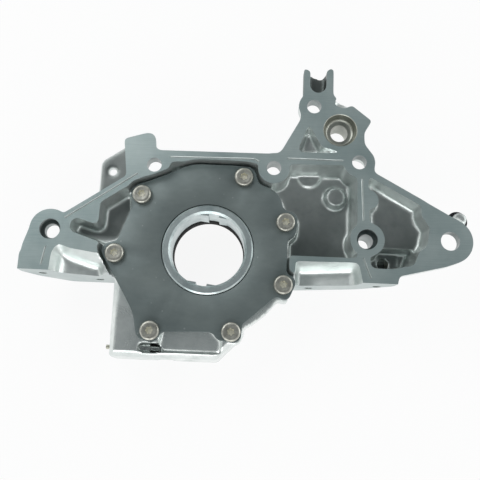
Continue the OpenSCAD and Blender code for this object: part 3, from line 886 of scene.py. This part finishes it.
@dataclass
class Casting:
    """The pump's housing: as-cast skin with faces and bores machined into it. Millimetres."""

    node: str = "pump_body"
    voxel: float = 0.95
    smoothing: int = 10
    stock: float = 3.0
    groove_width: float = 1.1
    groove_depth: float = 0.7
    dowel_r: float = 6.25
    dowel_depth: float = 6.0
    bowl_r: float = 10.25
    bowl_bore_r: float = 5.5
    bowl_depth: float = 6.0
    chamber_r: float = 43.08
    chamber_floor: float = -19.7
    journal_r: float = 26.0
    seal_r: float = 30.0
    seal_top: float = -24.0
    tap_r: float = 2.5

    def build(self) -> bpy.types.Object:
        """Builds the casting's piece.

        Returns:
            The finished piece.
        """
        body = self.blank()
        self.machine(body)
        self.paint(body)
        return finished(body, "housing_casting", "housing", [self.node])

    def blank(self) -> bpy.types.Object:
        """Casting with stock on its machined faces, filled bores and soft edges.

        Returns:
            The unmachined casting.
        """
        body = copy_of(self.node)
        self.add_stock(body.data)
        join(body, self.plugs().object())
        modified(body, "REMESH", mode="VOXEL", voxel_size=self.voxel, adaptivity=0.0)
        modified(body, "SMOOTH", factor=0.5, iterations=self.smoothing)
        return body

    def add_stock(self, mesh: bpy.types.Mesh) -> None:
        """Moves the faces that get machined outwards.

        Args:
            mesh: The merged casting.
        """
        count = len(mesh.vertices)
        co = np.empty(count * 3)
        mesh.vertices.foreach_get("co", co)
        co = co.reshape(-1, 3)
        co[np.abs(co[:, 2]) < 0.01, 2] = self.stock
        sump = (np.abs(co[:, 1] - SUMP_Y) < 0.01) & ((co[:, 0] < SUMP_ENDS[0]) | (co[:, 0] > SUMP_ENDS[1]))
        co[sump, 1] -= self.stock
        mesh.vertices.foreach_set("co", co.ravel())
        mesh.update()

    def plugs(self) -> Shape:
        """Plugs that fill the flange's bores before the skin is softened, and a floor beside the tab.

        Returns:
            The plugs as one shape.
        """
        shape = Shape("bore_plugs")
        for (x, y), radius, low in FLANGE_HOLES.values():
            shape.cylinder((x, y, low + 0.4), radius + 0.4, self.stock - low - 0.4, sides=32)
        for x, y in DOWEL_BORES:
            shape.cylinder((x, y, -6.5), 6.7, self.stock + 6.5, sides=32)
        for low, radius in ((-19.6, 5.9), (-6.4, 10.8)):
            shape.cylinder((*BOWL_AT, low), radius, self.stock - low, sides=32)
        return shape.block((-42, 41, -13), (-26, 49, SEAT - 0.2))

    def machine(self, body: bpy.types.Object) -> None:
        """Cuts the faces, bores and grooves.

        Args:
            body: The unmachined casting.
        """
        low, high, clear = CLEAR_LOW, CLEAR_HIGH, CLEAR_HIGH[2] + 2
        cut(body, Shape("mill_faces").block((*low[:2], 0), (*high[:2], clear)))
        cut(body, Shape("mill_sump")
            .block(low, (SUMP_ENDS[0] + 0.1, SUMP_Y, clear))
            .block((SUMP_ENDS[1] + 0.1, *low[1:]), (high[0], SUMP_Y, clear)))
        bores = Shape("bores")
        for (x, y), radius, _ in FLANGE_HOLES.values():
            bores.cylinder((x, y, low[2]), radius, THROUGH)
        bores.cylinder((*BOWL_AT, low[2]), self.bowl_bore_r, THROUGH)
        bores.cylinder((*RING_ROTOR_AT, self.chamber_floor), self.chamber_r, 20, sides=160)
        cut(body, bores)
        steps = Shape("counterbores")
        for x, y in DOWEL_BORES:
            steps.cylinder((x, y, -self.dowel_depth), self.dowel_r, 10)
        steps.lathe(self.bowl_profile(), BOWL_AT)
        steps.cylinder((0, 0, low[2]), self.journal_r, SEAT - low[2], sides=128)
        cut(body, steps)
        seal = Shape("seal_seat").cylinder((0, 0, low[2]), self.seal_r, self.seal_top - low[2], sides=128)
        cut(body, seal)
        cut(body, self.small_bores())
        cut(body, self.grooves())

    def bowl_profile(self) -> list[Point]:
        """Outline of the turned bowl.

        Returns:
            Radius and height of each point.
        """
        rim, depth, floor_r, edge, above = self.bowl_r, self.bowl_depth, 7.2, 0.35, 2.0
        arc = [(floor_r + (rim - floor_r) * math.cos(a), -depth * math.sin(a))
               for a in (math.radians(d) for d in range(0, 91, 10))]
        return [(0.0, above), (rim + edge, above), (rim + edge, 0.0), (rim, -edge), *arc[1:], (0.0, -depth)]

    def small_bores(self) -> Shape:
        """Bores of the screws, the sump bolts and the relief valve.

        Returns:
            The bores as one shape.
        """
        shape = Shape("small_bores")
        for x, level in SUMP_TAPS:
            shape.cylinder((x, SUMP_Y - 1, level), self.tap_r, 10, "Y", 32)
        shape.cylinder((*LUG_HOLE, -30), self.tap_r, 14, sides=48)
        shape.cylinder((-60, -60.1, -20), 4.83, 42, "X", 64)
        for x, y in SCREWS:
            shape.cylinder((x, y, -18), 2.6, 9, sides=32)
        return shape

    def grooves(self) -> Shape:
        """V-grooves for the sealant on the mating face.

        Returns:
            The grooves' cutting shape.
        """
        shape = Shape("sealant_grooves")
        half, depth, rise = self.groove_width / 2, self.groove_depth, 0.6
        for line in SEALANT_GROOVES:
            for (x0, y0), (x1, y1) in zip(line, line[1:]):
                run = Vector((x1 - x0, y1 - y0, 0))
                side = Vector((-run.y, run.x, 0)).normalized()
                wide = half * (1 + rise / depth)
                section = [(-wide, rise), (wide, rise), (0.0, -depth)]
                ends = [[shape.bm.verts.new(Vector((x, y, z)) + side * across) for across, z in section]
                        for x, y in ((x0, y0), (x1, y1))]
                made = [shape.bm.faces.new(ends[0]), shape.bm.faces.new(ends[1])]
                for i in range(3):
                    j = (i + 1) % 3
                    made.append(shape.bm.faces.new((ends[0][i], ends[0][j], ends[1][j], ends[1][i])))
                bmesh.ops.recalc_face_normals(shape.bm, faces=made)
        return shape

    def paint(self, body: bpy.types.Object) -> None:
        """Gives each face its finish by where it lies.

        Args:
            body: The machined casting, in millimetres.
        """
        mesh = body.data
        mesh.materials.clear()
        for finish in (CAST, MILLED, SUMP_MILLED_LIT, BORED, BOWL):
            mesh.materials.append(finish.material())
        count = len(mesh.polygons)
        centre, normal = np.empty(count * 3), np.empty(count * 3)
        mesh.polygons.foreach_get("center", centre)
        mesh.polygons.foreach_get("normal", normal)
        centre, normal = centre.reshape(-1, 3), normal.reshape(-1, 3)
        slot = np.full(count, Slot.CAST, np.int32)
        slot[(np.abs(centre[:, 2]) < 0.02) & (normal[:, 2] > 0.99)] = Slot.MILLED
        # Painted light: the sump face takes the lighter copy of the milled finish
        slot[(np.abs(centre[:, 1] - SUMP_Y) < 0.02) & (normal[:, 1] < -0.99)] = Slot.SUMP
        walls = [(place, radius) for place, radius, _ in FLANGE_HOLES.values()]
        walls += [(place, self.dowel_r) for place in DOWEL_BORES]
        for (x, y), radius in walls:
            near = np.hypot(centre[:, 0] - x, centre[:, 1] - y)
            slot[(near < radius + 0.15) & (centre[:, 2] < -0.05)] = Slot.BORED
        # Painted light: the turned bowl takes the lighter copy of the bored finish
        near = np.hypot(centre[:, 0] - BOWL_AT[0], centre[:, 1] - BOWL_AT[1])
        slot[(near < self.bowl_r + 0.65) & (centre[:, 2] < -0.02) & (centre[:, 2] > -21)] = Slot.BOWL
        mesh.polygons.foreach_set("material_index", slot)
        mesh.update()


def join(target: bpy.types.Object, part: bpy.types.Object) -> None:
    """Adds a part's mesh to an object's and removes the part.

    Args:
        target: The object that stays.
        part: The object that goes into it.
    """
    bm = bmesh.new()
    bm.from_mesh(target.data)
    bm.from_mesh(part.data)
    bm.to_mesh(target.data)
    bm.free()
    bpy.data.objects.remove(part)


@dataclass
class Cover:
    """Ground rotor cover and the seven screws that hold it. Millimetres."""

    edge: float = 0.4
    head_r: float = 5.8
    head_h: float = 3.4
    rim: float = 1.5
    shank: float = 3.6
    shank_r: float = 2.4
    recess_r: float = 2.35
    recess_d: float = 1.8
    turn_step: float = 25.0

    def build(self) -> None:
        """Builds the plate and the screws."""
        plate = copy_of("cover_plate")
        modified(plate, "BEVEL", width=self.edge, segments=2, limit_method="ANGLE",
                 angle_limit=math.radians(40))
        plate.data.materials.append(PLATE.material())
        finished(plate, "rotor_cover", "housing", ["cover_plate"])
        screws = self.screw_row(self.screw())
        finished(screws, "cover_screws", "housing",
                 [f"cover_screw_{i + 1}" for i in range(len(SCREWS))], 40.0)

    def screw(self) -> bpy.types.Object:
        """One pan-head screw on the axis, its head's foot at height 0.

        Returns:
            The screw, in millimetres.
        """
        r, h, foot = self.head_r, self.head_h, 0.25
        dome = [(r - self.rim * (1 - math.cos(a)), h - self.rim * 0.95 * (1 - math.sin(a)))
                for a in (math.radians(d) for d in range(0, 91, 15))]
        shank = [(0.0, -self.shank), (self.shank_r, -self.shank), (self.shank_r, 0.0)]
        top = [(r - self.rim - 0.7, h), (self.recess_r + 0.55, h - 0.12), (0.0, h - 0.14)]
        profile = [*shank, (r - foot, 0.0), (r, foot), *dome, *top]
        made = Shape("screw").lathe(profile, sides=64).object()
        made.data.materials.append(SCREW.material())
        # Second slot: the recess's painted highlight
        made.data.materials.append(RECESS_HIGHLIGHT.material())
        cut(made, self.recess())
        self.mark_recess_highlight(made.data)
        return made

    def recess(self) -> Shape:
        """Six-lobed recess of a screw.

        Returns:
            The recess's cutting shape.
        """
        outline = []
        for i in range(72):
            a = 2 * math.pi * i / 72
            reach = self.recess_r * (0.74 + 0.26 * (0.5 + 0.5 * math.cos(6 * a)) ** 0.8)
            outline.append((reach * math.cos(a), reach * math.sin(a)))
        return Shape("recess").prism(outline, self.head_h - self.recess_d, self.head_h + 1)

    def mark_recess_highlight(self, mesh: bpy.types.Mesh) -> None:
        """Gives the recess the painted highlight, a brighter metal.

        Args:
            mesh: The screw's mesh, in millimetres.
        """
        for face in mesh.polygons:
            near = face.center.xy.length
            if near < self.recess_r * 1.01 and face.center.z > 0.5 and (
                    face.center.z < self.head_h - 0.2 or near < self.recess_r * 0.7):
                face.material_index = 1

    def screw_row(self, screw: bpy.types.Object) -> bpy.types.Object:
        """Sets the screw at each of the cover's holes with Geometry Nodes.

        Args:
            screw: The screw, which is removed afterwards.

        Returns:
            All screws as one object, in millimetres.
        """
        points = bpy.data.meshes.new("screw_places")
        points.from_pydata([(x, y, COVER_TOP + 0.02) for x, y in SCREWS], [], [])
        row = bpy.data.objects.new("cover_screws", points)
        bpy.context.scene.collection.objects.link(row)
        tree = bpy.data.node_groups.new("screws_on_points", "GeometryNodeTree")
        tree.interface.new_socket("Places", in_out="INPUT", socket_type="NodeSocketGeometry")
        kind = tree.interface.new_socket("Screw", in_out="INPUT", socket_type="NodeSocketObject")
        step = tree.interface.new_socket("Turn step", in_out="INPUT", socket_type="NodeSocketFloat")
        metal = tree.interface.new_socket("Metal", in_out="INPUT", socket_type="NodeSocketMaterial")
        # Recess metal: material of the recess's painted highlight
        inside = tree.interface.new_socket("Recess metal", in_out="INPUT", socket_type="NodeSocketMaterial")
        tree.interface.new_socket("Geometry", in_out="OUTPUT", socket_type="NodeSocketGeometry")
        g = Graph(tree)
        given = g.node("NodeGroupInput")
        shape = g.node("GeometryNodeObjectInfo", {}, {"Object": given.outputs["Screw"]})
        index = Wire(g, g.node("GeometryNodeInputIndex").outputs[0])
        turn = g.node("ShaderNodeCombineXYZ", {}, {"Z": index * Wire(g, given.outputs["Turn step"])})
        placed = g.node("GeometryNodeInstanceOnPoints", {}, {
            "Points": given.outputs["Places"], "Instance": shape.outputs["Geometry"],
            "Rotation": turn.outputs[0]})
        real = g.node("GeometryNodeRealizeInstances", {}, {"Geometry": placed.outputs[0]})
        slot = Wire(g, g.node("GeometryNodeInputMaterialIndex").outputs[0])
        outer = g.node("GeometryNodeSetMaterial", {}, {
            "Geometry": real.outputs[0], "Selection": 1 - slot, "Material": given.outputs["Metal"]})
        both = g.node("GeometryNodeSetMaterial", {}, {
            "Geometry": outer.outputs[0], "Selection": slot, "Material": given.outputs["Recess metal"]})
        g.node("NodeGroupOutput", {}, {0: both.outputs[0]})
        modifier = row.modifiers.new("screws", "NODES")
        modifier.node_group = tree
        modifier[kind.identifier] = screw
        modifier[step.identifier] = math.radians(self.turn_step)
        modifier[metal.identifier] = SCREW.material()
        modifier[inside.identifier] = RECESS_HIGHLIGHT.material()
        baked(row)
        bpy.data.objects.remove(screw)
        return row


@dataclass
class Rotors:
    """Drive rotor and ring rotor."""

    def build(self) -> None:
        """Dresses both rotors."""
        dress_node("inner_rotor", ROTOR)
        dress_node("outer_rotor", ROTOR)


@dataclass
class SmallParts:
    """Seal, relief valve and plugs, which keep their CAD shape."""

    finishes: dict[str, Finish] = field(default_factory=lambda: {
        "seal_case": SEAL_STEEL, "seal_lip": RUBBER, "garter_spring": WIRE, "relief_plunger": HARD_STEEL,
        "relief_spring": WIRE, "relief_retainer": BRIGHT_PLUG, "relief_snap_ring": BLACK_STEEL,
        "gallery_plug": BRIGHT_PLUG, "passage_plug": BRIGHT_PLUG, "arm_plug": BLACK_STEEL})

    def build(self) -> None:
        """Dresses each part."""
        for node, finish in self.finishes.items():
            dress_node(node, finish)


class Lamp(Enum):
    """The studio's lamps: place in metres and power in watts."""

    KEY = ((-0.5, 0.55, 0.6), 3.2)
    FILL = ((0.8, 0.25, 0.3), 2.2)
    LOW = ((-0.1, -0.75, 0.3), 2.6)


@dataclass
class Studio:
    """Floor, lamps, surroundings and the camera."""

    target: Place = (0.01946, 0.00535, 0.0)
    distance: float = 0.42
    tilt: float = 12.5
    roll: float = 2.4
    lens: float = 52.5
    lamp_size: float = 0.7
    floor_size: float = 6.0
    floor_colour: Colour = (0.86, 0.87, 0.87)
    floor_glow: float = 0.9
    sides: Colour = (1.0, 1.0, 0.99)
    overhead: Colour = (0.2, 0.215, 0.22)

    def build(self) -> None:
        """Builds the whole studio."""
        self.camera()
        self.floor()
        self.world()
        for lamp in Lamp:
            self.lamp(lamp)
        bpy.context.scene.view_settings.view_transform = "Standard"

    def camera(self) -> None:
        """Puts the camera where the photograph was taken from."""
        data = bpy.data.cameras.new("camera")
        data.lens, data.sensor_width = self.lens, 36.0
        data.clip_start, data.clip_end = 0.01, 50.0
        lean = math.radians(self.tilt)
        target = Vector(self.target)
        place = target + Vector((0.0, -math.sin(lean), math.cos(lean))) * self.distance
        forward = (target - place).normalized()
        right = forward.cross(Vector((0, 1, 0))).normalized()
        up = right.cross(forward)
        turn = Matrix((right, up, -forward)).transposed() @ Matrix.Rotation(math.radians(self.roll), 3, "Z")
        made = bpy.data.objects.new("camera", data)
        made.matrix_world = Matrix.Translation(place) @ turn.to_4x4()
        bpy.context.scene.collection.objects.link(made)
        bpy.context.scene.camera = made

    def floor(self) -> None:
        """White floor under the part, which keeps the part's shadow."""
        mesh = bpy.data.meshes.new("floor")
        half = self.floor_size / 2
        level = FRONT * MM - 0.0005
        corners = [(x * half, y * half, level) for x, y in ((-1, -1), (1, -1), (1, 1), (-1, 1))]
        mesh.from_pydata(corners, [], [(0, 1, 2, 3)])
        floor = bpy.data.objects.new("floor", mesh)
        bpy.context.scene.collection.objects.link(floor)
        white = self.empty_material("floor_white")
        p = Graph(white.node_tree)
        diffuse = p.node("ShaderNodeBsdfDiffuse", {}, {"Color": self.floor_colour})
        glow = p.node("ShaderNodeEmission", {}, {"Color": (1.0, 1.0, 1.0), "Strength": 1.0})
        both = p.node("ShaderNodeMixShader", {}, {
            0: self.seen(p) * self.floor_glow, 1: diffuse.outputs[0], 2: glow.outputs[0]})
        p.node("ShaderNodeOutputMaterial", {}, {"Surface": both.outputs[0]})
        mesh.materials.append(white)

    @staticmethod
    def empty_material(name: str) -> bpy.types.Material:
        """A material with an empty tree.

        Args:
            name: The material's name.

        Returns:
            The material.
        """
        made = bpy.data.materials.new(name)
        made.use_nodes = True
        made.node_tree.nodes.clear()
        return made

    @staticmethod
    def seen(graph: Graph) -> Wire:
        """Rays that show the floor as plain white.

        Args:
            graph: The floor's tree.

        Returns:
            1 on rays from the camera, mirrored ones and those through glass.
        """
        path = graph.node("ShaderNodeLightPath")
        camera, glossy, through = (Wire(graph, path.outputs[f"Is {kind} Ray"])
                                   for kind in ("Camera", "Glossy", "Transmission"))
        return (camera + glossy + through).clamp()

    def world(self) -> None:
        """Pale surroundings, dimmer overhead so that faces towards the camera read darker."""
        world = bpy.data.worlds.new("studio")
        bpy.context.scene.world = world
        world.use_nodes = True
        world.node_tree.nodes.clear()
        g = Graph(world.node_tree)
        place = g.node("ShaderNodeTexCoord").outputs["Generated"]
        height = Wire(g, g.node("ShaderNodeSeparateXYZ", {}, {0: place}).outputs["Z"])
        around = g.node("ShaderNodeMix", {"data_type": "RGBA"},
                        {0: height.step(0.3, 0.9), 6: self.sides, 7: self.overhead}).outputs[2]
        light = g.node("ShaderNodeBackground", {}, {"Color": around, "Strength": 1.0})
        g.node("ShaderNodeOutputWorld", {}, {"Surface": light.outputs[0]})

    def lamp(self, lamp: Lamp) -> None:
        """Adds one area lamp aimed at the part.

        Args:
            lamp: The lamp.
        """
        place, watts = lamp.value
        data = bpy.data.lights.new(lamp.name.lower(), "AREA")
        data.energy, data.size = watts, self.lamp_size
        made = bpy.data.objects.new(lamp.name.lower(), data)
        made.location = place
        aim = Vector((0.02, 0.0, -0.02)) - Vector(place)
        made.rotation_euler = aim.to_track_quat("-Z", "Y").to_euler()
        bpy.context.scene.collection.objects.link(made)


def main() -> None:
    """Builds everything."""
    logging.basicConfig(level=logging.INFO, format="%(message)s")
    for assembly in (Studio(), Casting(), Cover(), Rotors(), SmallParts()):
        assembly.build()


if __name__ == "__main__":
    main()
